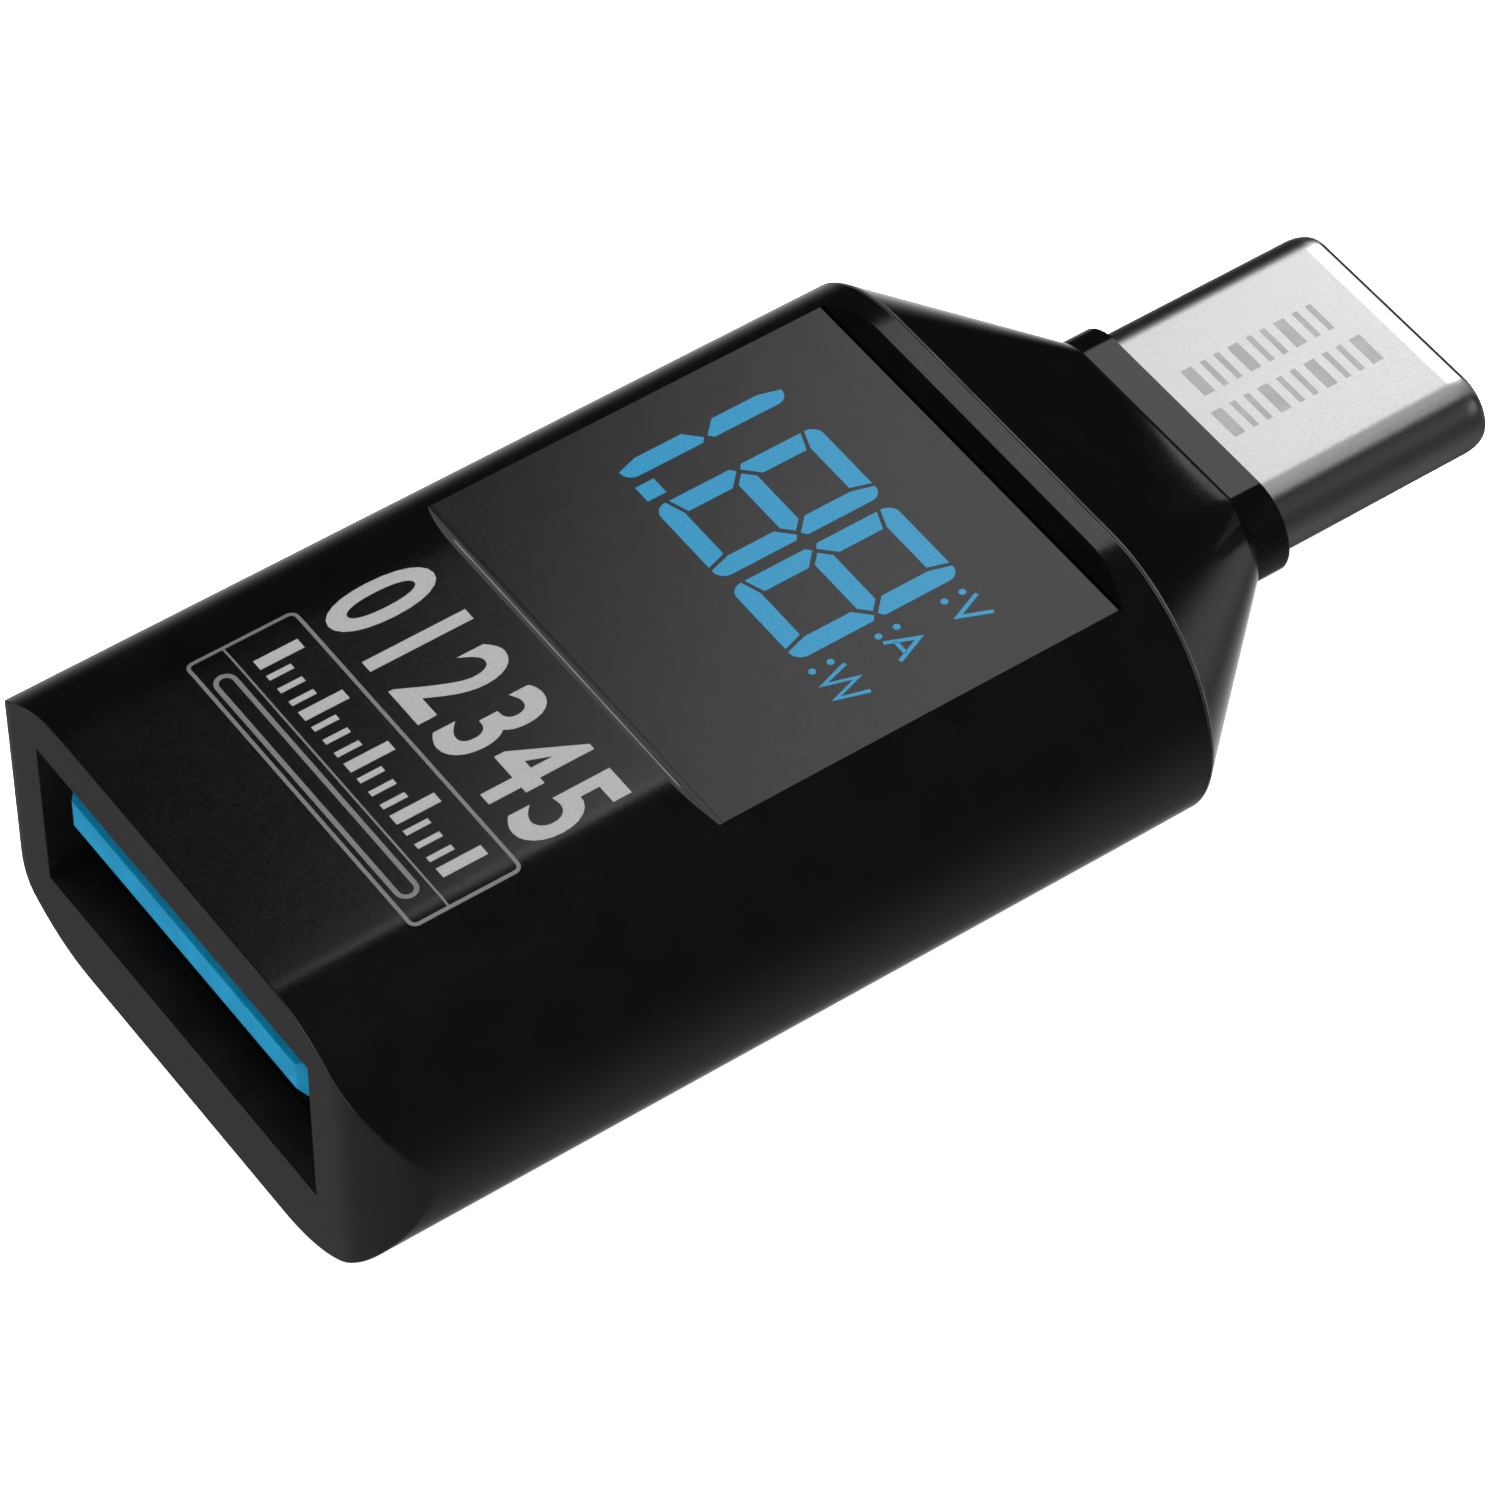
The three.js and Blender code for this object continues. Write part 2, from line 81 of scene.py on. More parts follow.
INK = 0.01                                   # thickness of the print, for which the skin has room
EDGE = 0.035                                 # width of the small bevel on moulded edges
MOUTH_EDGE = 0.015                           # and of the crisper one round the socket's mouth
SEAM_EDGE = 0.06                             # and of the sleeve's one at the seam, painted pale as a highlight
MID_Z = SLEEVE[1].z / 2
RADIUS = SLEEVE[1].z / 2 - INK               # of the body's half-round sides
FLAT = SLEEVE[1].y - SLEEVE[1].z / 2         # half-width of the body's top flat
SEAM = SLEEVE[1].x
TOP = MID_Z + RADIUS
END_ROLL = 1.9                               # radius of the socket end's corners, from above
WALL = 1.1                                   # thickness of the housing
END_WALL = 1.3                               # and of its socket end

NOTCH_FLOOR = WINDOW[1].z
NOTCH_START = WINDOW[0].x - 0.1              # where the notch's sloping ends reach its floor
NOTCH_END = WINDOW[1].x + 0.1
NOTCH_REACH = FLAT + math.sqrt(RADIUS ** 2 - (NOTCH_FLOOR - MID_Z) ** 2)
NOTCH_RIM_HIGHLIGHT = (0.49, 0.64)                     # the painted highlight line on its slope, in parts of the drop

MOUTH_WIDTH = 12.34
MOUTH_HEIGHT = 4.96
MOUTH_Z = 4.977                              # height of the mouth's middle

TAPER_START = SEAM + 0.012
TAPER_END = 30.17
COLLAR_END = NOSE[1].x
COLLAR = (9.06, 2.95)                        # width and height
PLUG_SIZE = (2 * PLUG[1].y, PLUG[1].z - PLUG[0].z)
TIP = PLUG[1].x
LIP = 0.68                                   # length of the plug's rolled lip

TOP_STEPS = 12                               # steps along a flat and round each half-round side
SIDE_STEPS = 64
CLIP_STEPS = 16                              # side steps that give way when the top is cut lower


# ---------------------------------------------------------------- mesh helpers


def link(name, mesh):
    piece = bpy.data.objects.new(name, mesh)
    bpy.context.scene.collection.objects.link(piece)
    return piece


def make(name, points, faces, sharp=22):
    """A piece from points in millimetres, smooth but for edges sharper than the angle."""
    mesh = bpy.data.meshes.new(name)
    mesh.from_pydata([to_frame(p) for p in points], [], faces)
    smooth(mesh, sharp)
    return link(name, mesh)


def smooth(mesh, sharp):
    bm = bmesh.new()
    bm.from_mesh(mesh)
    bmesh.ops.recalc_face_normals(bm, faces=bm.faces)
    bm.to_mesh(mesh)
    bm.free()
    mesh.shade_smooth()
    mesh.set_sharp_from_angle(angle=math.radians(sharp))


def tube(name, rings, sharp=22):
    """A closed body from rings of points: each joins the next, and the last joins the first."""
    count = len(rings[0])
    points = [p for ring in rings for p in ring]
    faces = []
    for i in range(len(rings)):
        a, b = i * count, (i + 1) % len(rings) * count
        for j in range(count):
            k = (j + 1) % count
            faces.append((a + j, a + k, b + k, b + j))
    return make(name, points, faces, sharp)


def cut(piece, x0, x1, half_width, z0, z1):
    """Cuts a box, the same on both sides of the middle, out of a piece."""
    lo, hi = to_frame((x0, -half_width, z0)), to_frame((x1, half_width, z1))
    bm = bmesh.new()
    bmesh.ops.create_cube(bm, size=1)
    for v in bm.verts:
        v.co = [(lo[i] + hi[i]) / 2 + v.co[i] * (hi[i] - lo[i]) for i in range(3)]
    mesh = bpy.data.meshes.new("cutter")
    bm.to_mesh(mesh)
    bm.free()
    cutter = link("cutter", mesh)
    modifier = piece.modifiers.new("cut", "BOOLEAN")
    modifier.operation = "DIFFERENCE"
    modifier.solver = "EXACT"
    modifier.object = cutter
    result = bpy.data.meshes.new_from_object(piece.evaluated_get(
        bpy.context.evaluated_depsgraph_get()))
    piece.modifiers.clear()
    piece.data = result
    bpy.data.objects.remove(cutter)


def section(flat, radius, top=None):
    """A flat oval round the middle plane as (y, z, normal y, normal z), cut off at height top."""
    top = radius if top is None else top
    clip = math.acos(min(top / radius, 1))
    reach = flat + radius * math.sin(clip)
    fixed = math.pi * CLIP_STEPS / SIDE_STEPS
    side = []
    for k in range(1, SIDE_STEPS):
        angle = math.pi * k / SIDE_STEPS
        if k < CLIP_STEPS:
            angle = clip + (fixed - clip) * k / CLIP_STEPS
        side.append((flat + radius * math.sin(angle), radius * math.cos(angle),
                     math.sin(angle), math.cos(angle)))
    upper = [(reach * (1 - 2 * i / TOP_STEPS), top, 0, 1) for i in range(TOP_STEPS + 1)]
    lower = [(flat * (2 * i / TOP_STEPS - 1), -radius, 0, -1) for i in range(TOP_STEPS + 1)]
    right = [(-y, z, -ny, nz) for y, z, ny, nz in side]
    return upper + right + lower + side[::-1]


def ring(x, flat, radius, top=None, inset=0):
    """A section as points at x, moved inwards by inset."""
    return [(x, y - ny * inset, MID_Z + z - nz * inset)
            for y, z, ny, nz in section(flat, radius, top)]


def oval_ring(x, width, height, inset=0):
    return ring(x, (width - height) / 2, height / 2, None, inset)


def mouth_ring(x, grow=0):
    """The socket mouth's rectangle, with as many points as a section and in line with them."""
    w, h = MOUTH_WIDTH / 2 + grow, MOUTH_HEIGHT / 2 + grow
    rays = [(y, z + MID_Z - MOUTH_Z) for y, z, ny, nz in section(FLAT, RADIUS)]
    points = []
    for y, z in rays:
        reach = min(w / max(abs(y), 1e-6), h / max(abs(z), 1e-6))
        points.append((y * reach, z * reach))
    for corner in ((w, h), (w, -h), (-w, h), (-w, -h)):
        nearest = min(range(len(points)), key=lambda i: math.dist(points[i], corner))
        points[nearest] = corner
    return [(x, y, MOUTH_Z + z) for y, z in points]


# ---------------------------------------------------------------- materials


def material(name, color, roughness, metallic=0.0, **sockets):
    made = bpy.data.materials.new(name)
    made.use_nodes = True
    bsdf = made.node_tree.nodes["Principled BSDF"]
    bsdf.inputs["Base Color"].default_value = (*color, 1)
    bsdf.inputs["Roughness"].default_value = roughness
    bsdf.inputs["Metallic"].default_value = metallic
    for socket, value in sockets.items():
        bsdf.inputs[socket.replace("_", " ")].default_value = value
    return made


def node(made, kind, **values):
    """A shader node with values on its named or numbered inputs and on its own settings."""
    new = made.node_tree.nodes.new(kind)
    for key, value in values.items():
        if hasattr(new, key):
            setattr(new, key, value)
        else:
            new.inputs[key.replace("_", " ")].default_value = value
    return new


def join(made, out, into):
    made.node_tree.links.new(out, into)


def remap(made, value, source, target):
    """A smooth step from target[0] to target[1] as the value goes through source."""
    step = node(made, "ShaderNodeMapRange", interpolation_type="SMOOTHSTEP")
    for key, number in zip(("From Min", "From Max", "To Min", "To Max"), (*source, *target)):
        step.inputs[key].default_value = number
    join(made, value, step.inputs["Value"])
    return step.outputs["Result"]


def calculate(made, operation, first, second):
    """A math node on two sockets or numbers."""
    math_node = node(made, "ShaderNodeMath", operation=operation)
    for i, value in enumerate((first, second)):
        if isinstance(value, (int, float)):
            math_node.inputs[i].default_value = value
        else:
            join(made, value, math_node.inputs[i])
    return math_node.outputs[0]


def noise(made, size, detail=2.0):
    """Noise in the object's own space, with features of about that size in millimetres."""
    place = node(made, "ShaderNodeTexCoord")
    texture = node(made, "ShaderNodeTexNoise", Scale=1 / (size * MM), Detail=detail)
    join(made, place.outputs["Object"], texture.inputs["Vector"])
    return texture.outputs["Fac"]


def spread(made, fac, low, high):
    """Maps the middle of a noise onto low to high."""
    ramp = node(made, "ShaderNodeMapRange")
    for key, value in zip(("From Min", "From Max", "To Min", "To Max"), (0.3, 0.7, low, high)):
        ramp.inputs[key].default_value = value
    join(made, fac, ramp.inputs["Value"])
    return ramp.outputs["Result"]


def tint(made, fac, low, high, socket="Base Color", ends=(0.35, 0.65)):
    """Colours from low to high as a noise goes between the ends, into a socket of the shader."""
    ramp = node(made, "ShaderNodeValToRGB")
    for element, position, color in zip(ramp.color_ramp.elements, ends, (low, high)):
        element.position = position
        element.color = (*color, 1)
    join(made, fac, ramp.inputs["Fac"])
    join(made, ramp.outputs["Color"], made.node_tree.nodes["Principled BSDF"].inputs[socket])


def bump(made, fac, height):
    """A bump of that height in millimetres."""
    bumps = node(made, "ShaderNodeBump", Strength=1.0, Distance=height * MM)
    join(made, fac, bumps.inputs["Height"])
    join(made, bumps.outputs["Normal"], made.node_tree.nodes["Principled BSDF"].inputs["Normal"])


def finish_of(made, grain, rough_low, rough_high, color_low, color_high, height):
    """The common finish: roughness and relief vary on the scale of the grain in millimetres, and
    colour in patches 12 times as large."""
    bsdf = made.node_tree.nodes["Principled BSDF"]
    fine = noise(made, grain)
    join(made, spread(made, fine, rough_low, rough_high), bsdf.inputs["Roughness"])
    tint(made, noise(made, 12 * grain, 3), color_low, color_high)
    bump(made, fine, height)
    return made


def gloss_black(name, low, high):
    """Black plastic whose roughness lies between low and high."""
    made = material(name, (0.001, 0.001, 0.0011), low)
    return finish_of(made, 0.12, low, high, (0.0008, 0.0008, 0.0009), (0.0012, 0.0012, 0.0013),
                     0.0003)


def worn_edge(name, grey):
    """A paler black painted on a moulded edge, as a highlight where light catches it."""
    made = material(name, [grey] * 3, 0.35)
    return finish_of(made, 0.1, 0.3, 0.4, [0.8 * grey] * 3, [1.2 * grey] * 3, 0.0005)


def smoked_window():
    made = material("smoked_window", (0.002, 0.002, 0.0022), 0.18)
    return finish_of(made, 0.06, 0.14, 0.22, (0.0016, 0.0016, 0.0018), (0.0024, 0.0024, 0.0027),
                     0.0006)


def lit_segment():
    """A glowing blue segment with a fine grain."""
    made = material("lit_segment", (0.002, 0.01, 0.02), 0.2, Emission_Strength=1.0)
    tint(made, noise(made, 0.05), (0.005, 0.205, 0.385), (0.007, 0.28, 0.5), "Emission Color",
         (0.3, 0.7))
    return made


def silver_ink(name, grey):
    made = material(name, [grey] * 3, 0.45, 0.7)
    fine = noise(made, 0.05)
    join(made, spread(made, fine, 0.36, 0.52),
         made.node_tree.nodes["Principled BSDF"].inputs["Roughness"])
    tint(made, fine, [0.92 * grey] * 3, [1.08 * grey] * 3)
    bump(made, fine, 0.002)
    return made


def tongue_blue():
    made = material("tongue_blue", (0.002, 0.155, 0.285), 0.5, Specular_IOR_Level=0.03)
    return finish_of(made, 0.06, 0.42, 0.55, (0.0015, 0.143, 0.265), (0.0025, 0.167, 0.305), 0.001)


def dark_steel():
    # Near-black steel: painted shade for the inside of the socket's mouth
    made = material("dark_steel", (0.004, 0.004, 0.0042), 0.6, Specular_IOR_Level=0.12)
    return finish_of(made, 0.15, 0.55, 0.68, (0.003, 0.003, 0.0032), (0.005, 0.005, 0.0052), 0.001)


def satin_steel():
    """Blasted steel with painted shade and highlight round its sides; polished on the rolled lip
    at the plug's mouth.
    """
    made = material("satin_steel", (0.8, 0.8, 0.8), 0.36, 1.0)
    bsdf = made.node_tree.nodes["Principled BSDF"]
    fine = noise(made, 0.045, 4)
    place = node(made, "ShaderNodeTexCoord")
    spot = node(made, "ShaderNodeSeparateXYZ")
    join(made, place.outputs["Object"], spot.inputs["Vector"])
    facing = node(made, "ShaderNodeSeparateXYZ")
    join(made, place.outputs["Normal"], facing.inputs["Vector"])
    aside, upward = facing.outputs["Y"], facing.outputs["Z"]

    # How polished: fully on the lip's flats, not at all round its sides
    lip_start = to_frame((TIP - LIP, 0, 0)).x
    lip = remap(made, spot.outputs["X"], (lip_start - 0.02 * MM, lip_start + 0.06 * MM), (0, 1))
    flat = remap(made, calculate(made, "ABSOLUTE", aside, 0), (0, 0.12), (1, 0))
    polish = calculate(made, "MULTIPLY", lip, flat)

    # Roughness, a little higher where the right side starts to turn down
    turning = calculate(made, "MULTIPLY", remap(made, aside, (-0.06, -0.25), (0, 0.15)),
                        remap(made, aside, (-0.55, -0.38), (0, 1)))
    blasted = calculate(made, "ADD", spread(made, fine, 0.3, 0.38), turning)
    blend = node(made, "ShaderNodeMix", data_type="FLOAT")
    join(made, polish, blend.inputs[0])
    join(made, blasted, blend.inputs[2])
    blend.inputs[3].default_value = 0.12
    join(made, blend.outputs[0], bsdf.inputs["Roughness"])

    # Grey level: a random tone, times painted shade and painted highlight by which way the steel
    # faces
    tone_with_painted_light = spread(made, noise(made, 0.09, 3), 0.7, 0.76)
    for direction, span, ends in ((aside, (0.06, 0.32), (1, 0.28)),
                                  (aside, (-0.1, -0.3), (1, 1.15)),
                                  (aside, (-0.38, -0.56), (1, 0.3)),
                                  (aside, (-0.85, -1), (1, 1.5)),
                                  (upward, (-0.1, -0.5), (1, 0.4))):
        tone_with_painted_light = calculate(made, "MULTIPLY", tone_with_painted_light, remap(made, direction, span, ends))
    grey = node(made, "ShaderNodeCombineColor")
    for channel in ("Red", "Green", "Blue"):
        join(made, tone_with_painted_light, grey.inputs[channel])
    join(made, grey.outputs["Color"], bsdf.inputs["Base Color"])

    bumps = node(made, "ShaderNodeBump", Distance=0.0014 * MM)
    join(made, calculate(made, "SUBTRACT", 1, polish), bumps.inputs["Strength"])
    join(made, fine, bumps.inputs["Height"])
    join(made, bumps.outputs["Normal"], bsdf.inputs["Normal"])
    return made


def marked_steel():
    made = material("marked_steel", (0.5, 0.5, 0.5), 0.36, 1.0)
    return finish_of(made, 0.05, 0.32, 0.4, (0.48, 0.48, 0.48), (0.53, 0.53, 0.53), 0.0014)


def gold():
    made = material("contact_gold", (0.8, 0.55, 0.2), 0.25, 1.0)
    return finish_of(made, 0.1, 0.2, 0.32, (0.72, 0.48, 0.16), (0.84, 0.6, 0.24), 0.0005)


def black_moulding():
    made = material("black_moulding", (0.008, 0.008, 0.008), 0.5)
    return finish_of(made, 0.1, 0.42, 0.58, (0.006, 0.006, 0.006), (0.011, 0.011, 0.011), 0.001)


def white_moulding():
    made = material("white_moulding", (0.75, 0.75, 0.72), 0.5)
    return finish_of(made, 0.1, 0.45, 0.6, (0.7, 0.7, 0.67), (0.78, 0.78, 0.75), 0.001)


def board_green():
    made = material("board_green", (0.008, 0.08, 0.035), 0.35)
    return finish_of(made, 0.2, 0.3, 0.42, (0.006, 0.065, 0.028), (0.012, 0.1, 0.045), 0.002)


def diffuser_film():
    made = material("diffuser_film", (0.55, 0.62, 0.68), 0.6)
    return finish_of(made, 0.1, 0.55, 0.65, (0.52, 0.6, 0.66), (0.58, 0.65, 0.7), 0.001)


def ceramic():
    made = material("ceramic", (0.45, 0.32, 0.19), 0.6)
    return finish_of(made, 0.08, 0.5, 0.7, (0.4, 0.28, 0.16), (0.5, 0.37, 0.23), 0.002)


FINISH = {
    "housing": gloss_black("gloss_black", 0.14, 0.19),
    "nose": gloss_black("polished_black", 0.07, 0.11),
    "window": smoked_window(),
    "tongue": tongue_blue(),
    "socket_steel": dark_steel(),
    "plug_steel": satin_steel(),
    "contact_metal": gold(),
    "board": board_green(),
    "diffuser": diffuser_film(),
    "reflector": white_moulding(),
    "ceramic": ceramic(),
    "black_moulding": black_moulding(),
}
SEGMENT = lit_segment()
SILVER = silver_ink("silver_ink", 0.32)
SILVER_LINE = silver_ink("silver_line_ink", 0.145)
MARK = marked_steel()
# Paler blacks painted on edges as highlights: on the seam bevels and along the notch's socket
# slope
PAINTED_EDGE_HIGHLIGHT = worn_edge("worn_edge", 0.045)
PAINTED_RIM_HIGHLIGHT = worn_edge("painted_rim_highlight", 0.1)


def fit(piece, finish, slot, *nodes):
    """Gives a piece its material, rides it on the body and hides the CAD nodes it stands for; the
    slot is not used.
    """
    piece.data.materials.clear()
    piece.data.materials.append(finish)
    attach(piece, "root")
    if nodes:
        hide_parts(*nodes)
    return piece


# ---------------------------------------------------------------- housing


def end_depth(y):
    """How far the rolled socket end lies back at y."""
    over = abs(y) - (FLAT + RADIUS - END_ROLL)
    if over <= 0:
        return 0
    return END_ROLL - math.sqrt(max(END_ROLL ** 2 - over ** 2, 0))


def on_end(points, back=0):
    return [(end_depth(y) + back, y, z) for x, y, z in points]


def body_sleeve():
    """The sleeve: from the rim of the mouth over the end face and the skin to the seam, and back
    through the hollow to the mouth."""
    outline = ring(0, FLAT, RADIUS)
    edge = ring(0, FLAT, RADIUS, None, EDGE)
    corner = ring(0, FLAT, RADIUS, None, 0.3 * EDGE)
    mouth = mouth_ring(0, MOUTH_EDGE)
    rings = []
    # The end face, from the mouth out to the skin
    for s in (1, 0.9, 0.78, 0.66, 0.54, 0.43, 0.33, 0.24, 0.16, 0.1, 0.05, 0.02, 0):
        rings.append(on_end([Vector(a).lerp(Vector(b), s) for a, b in zip(edge, mouth)]))
    rings.append(on_end(corner, 0.3 * EDGE))
    # The skin, from the rolled end to a straight ring
    straight = 2.4
    for t in (0, 0.1, 0.25, 0.45, 0.7, 1):
        rings.append([(depth + EDGE + (straight - depth - EDGE) * t, y, z)
                      for depth, (x, y, z) in ((end_depth(p[1]), p) for p in outline)])
    # The notch, with its sloping ends
    drop = TOP - NOTCH_FLOOR
    steps = 10
    falls = [drop * (k / steps) ** 2 for k in range(steps + 1)]
    rings.append(ring(NOTCH_START - drop - EDGE, FLAT, RADIUS))
    for fall in falls:
        rings.append(ring(NOTCH_START - drop + fall, FLAT, RADIUS, RADIUS - fall))
    for fall in reversed(falls):
        rings.append(ring(NOTCH_END + drop - fall, FLAT, RADIUS, RADIUS - fall))
    rings.append(ring(NOTCH_END + drop + EDGE, FLAT, RADIUS))
    # The seam end and the hollow
    rings.append(ring(SEAM - SEAM_EDGE, FLAT, RADIUS))
    rings.append(ring(SEAM, FLAT, RADIUS, None, SEAM_EDGE))
    rings.append(ring(SEAM, FLAT, RADIUS, None, WALL))
    rings.append(ring(END_WALL, FLAT, RADIUS, None, WALL))
    rings.append(mouth_ring(END_WALL))
    rings.append(mouth_ring(MOUTH_EDGE))
    sleeve = tube("housing_sleeve", rings)
    gap, overshoot = 0.006, 0.001
    cut(sleeve, WINDOW[0].x - gap, NOTCH_END + overshoot, NOTCH_REACH, WINDOW[0].z - gap, TOP)
    display, play, well_floor = box_mm("display_board"), 0.15, MID_Z + 2
    cut(sleeve, display[0].x - play, display[1].x + play, display[1].y + play, well_floor, TOP)
    smooth(sleeve.data, 18)
    fit(sleeve, FINISH["housing"], "housing", "body_sleeve")
    # The walls just inside the mouth get the near-black steel, as painted shade
    paint(sleeve, FINISH["socket_steel"], in_mouth)
    # The seam bevel is painted pale, as a highlight
    paint(sleeve, PAINTED_EDGE_HIGHLIGHT, lambda point: SEAM - SEAM_EDGE < point.x < SEAM)
    # A painted highlight line along the notch's socket slope
    paint(sleeve, PAINTED_RIM_HIGHLIGHT, on_notch_rim)
    return sleeve


def paint(piece, finish, chosen):
    """Gives a second finish to the faces whose middles, in millimetres, are chosen."""
    piece.data.materials.append(finish)
    for face in piece.data.polygons:
        if chosen((face.center - to_frame((0, 0, 0))) / MM):
            face.material_index = len(piece.data.materials) - 1


def in_mouth(point):
    """Whether a point of the sleeve is on the dull walls just inside the socket's mouth, painted
    near black as shade.
    """
    x, y, z = point
    reach_y, reach_z = MOUTH_WIDTH / 2 + 0.1, MOUTH_HEIGHT / 2 + 0.1
    return 0.5 * MOUTH_EDGE < x < END_WALL and abs(y) < reach_y and abs(z - MOUTH_Z) < reach_z


def on_notch_rim(point):
    """Whether a point of the sleeve is on the painted highlight line along the notch's socket
    side.
    """
    down = 1 - (NOTCH_START - point.x) / (TOP - NOTCH_FLOOR)
    on_line = NOTCH_RIM_HIGHLIGHT[0] < down < NOTCH_RIM_HIGHLIGHT[1]
    return on_line and abs(point.y) < FLAT and point.z > NOTCH_FLOOR


def nose_cap():
    """The nose: a spigot inside the sleeve, the taper, the collar, and back through the hollow."""
    flat, radius = FLAT, RADIUS
    collar_radius = COLLAR[1] / 2
    collar_flat = COLLAR[0] / 2 - collar_radius
    spigot_start = NOSE[0].x
    cavity, cavity_far, cavity_end = (14.2, 5.2), (9, 2.9), 29.2    # width and height, and x
    hole = (PLUG_SIZE[0] + 0.05, PLUG_SIZE[1] + 0.05)
    chamfer = 0.06
    rings = [
        ring(spigot_start, flat, radius, None, WALL + 0.15),
        ring(spigot_start + 0.1, flat, radius, None, WALL + 0.05),
        ring(TAPER_START, flat, radius, None, WALL + 0.05),
        ring(TAPER_START, flat, radius, None, EDGE),
    ]
    steps = 12
    for i in range(steps + 1):
        t = i / steps
        rings.append(ring(TAPER_START + EDGE + (TAPER_END - TAPER_START - EDGE) * t,
                          flat + (collar_flat - flat) * t, radius + (collar_radius - radius) * t))
    rings += [
        ring(TAPER_END + 0.02, collar_flat, collar_radius),
        ring(COLLAR_END - chamfer, collar_flat, collar_radius),
        ring(COLLAR_END - 0.3 * chamfer, collar_flat, collar_radius, None, 0.3 * chamfer),
        ring(COLLAR_END, collar_flat, collar_radius, None, chamfer),
        oval_ring(COLLAR_END, *hole, -0.03),
        oval_ring(COLLAR_END - 0.03, *hole),
        oval_ring(cavity_end, *hole),
        oval_ring(cavity_end, *cavity_far),
        oval_ring(TAPER_START, *cavity),
        oval_ring(spigot_start, *cavity),
    ]
    nose = fit(tube("housing_nose", rings), FINISH["nose"], "housing", "nose_cap")
    # The bevel at the taper's start is painted pale, as a highlight
    paint(nose, PAINTED_EDGE_HIGHLIGHT, lambda point: TAPER_START < point.x < TAPER_START + EDGE)
    return nose


def plug_shell():
    """The plug's shell, whose lip rolls in by drop and ends in a small round nose."""
    width, height = PLUG_SIZE
    steel, nose, drop = 0.3, 0.12, 0.28
    start = PLUG[0].x
    rings = [oval_ring(start, width, height, steel), oval_ring(start, width, height, 0.05),
             oval_ring(start + 0.05, width, height), oval_ring(TIP - LIP, width, height)]
    steps = 10
    for i in range(1, steps + 1):
        angle = math.pi / 2 * i / steps
        rings.append(oval_ring(TIP - LIP + LIP * math.sin(angle), width, height,
                               drop * (1 - math.cos(angle))))
    for i in range(1, 6):
        angle = math.pi / 2 * i / 5
        rings.append(oval_ring(TIP - nose * (1 - math.cos(angle)), width, height,
                               drop + nose * math.sin(angle)))
    rings += [oval_ring(TIP - 0.45, width, height, drop + nose),
              oval_ring(TIP - 0.5, width, height, steel)]
    return fit(tube("plug_shell_rolled", rings), FINISH["plug_steel"], "plug_steel", "plug_shell")


# ---------------------------------------------------------------- flat pieces: print and display


def surface(y):
    """Height of the body's top at y."""
    over = max(abs(y) - FLAT, 0)
    return MID_Z + math.sqrt(RADIUS ** 2 - over ** 2)


def level(z):
    return lambda y: z


def arc(cx, cy, radius, start, end, steps=8):
    """Points of an arc in degrees, both ends included."""
    turns = [math.radians(start + (end - start) * i / steps) for i in range(steps + 1)]
    return [(cx + radius * math.cos(a), cy + radius * math.sin(a)) for a in turns]


def flat_mesh(outlines, height, thickness, creases=()):
    """Thin plates in (x, y), each an outline, or an outline and a hole with as many points."""
    bm = bmesh.new()
    for shape in outlines:
        loops = shape if isinstance(shape[0][0], (list, tuple)) else [shape]
        rows = [[bm.verts.new((x, y, 0)) for x, y in loop] for loop in loops]
        if len(rows) == 1:
            bm.faces.new(rows[0])
            continue
        outer, inner = rows
        for i in range(len(outer)):
            k = (i + 1) % len(outer)
            bm.faces.new((outer[i], outer[k], inner[k], inner[i]))
    return finish_flat(bm, height, thickness, creases)


def finish_flat(bm, height, thickness, creases):
    """Gives flat faces their thickness and lays them on the surface height(y)."""
    bmesh.ops.remove_doubles(bm, verts=bm.verts, dist=0.002)
    for crease in creases:
        for side in (-crease, crease):
            bmesh.ops.bisect_plane(bm, geom=bm.verts[:] + bm.edges[:] + bm.faces[:],
                                   plane_co=(0, side, 0), plane_no=(0, 1, 0))
    bm.verts.index_update()
    count = len(bm.verts)
    points = [to_frame((v.co.x, v.co.y, height(v.co.y) + rise))
              for rise in (0, thickness) for v in bm.verts]
    under = [[v.index for v in face.verts] for face in bm.faces]
    rims = [[v.index for v in edge.verts] for edge in bm.edges if edge.is_boundary]
    bm.free()
    faces = under + [[i + count for i in face] for face in under]
    faces += [(a, b, b + count, a + count) for a, b in rims]
    mesh = bpy.data.meshes.new("flat")
    mesh.from_pydata(points, [], faces)
    smooth(mesh, 22)
    return mesh


def stroke(points, width):
    """The outline of a line of constant width through points, mitred at its bends."""
    line = [Vector(p) for p in points]
    left, right = [], []
    for i, p in enumerate(line):
        into = (p - line[max(i - 1, 0)]).normalized()
        out = (line[min(i + 1, len(line) - 1)] - p).normalized()
        along = into if out.length == 0 else out
        tangent = (into + out).normalized()
        side = Vector((-tangent.y, tangent.x)) * width / 2 / max(tangent.dot(along), 0.4)
        left.append(tuple(p + side))
        right.append(tuple(p - side))
    return left + right[::-1]


# ---- seven-segment digits, drawn with u to the right and v up; on the meter u is -y and v is +x

DIGIT = {"width": 2.95, "half_height": 2.515, "stroke": 0.57, "corner": 0.35}
DIGIT_MID_X = 18.985
LIT_THICKNESS = 0.006


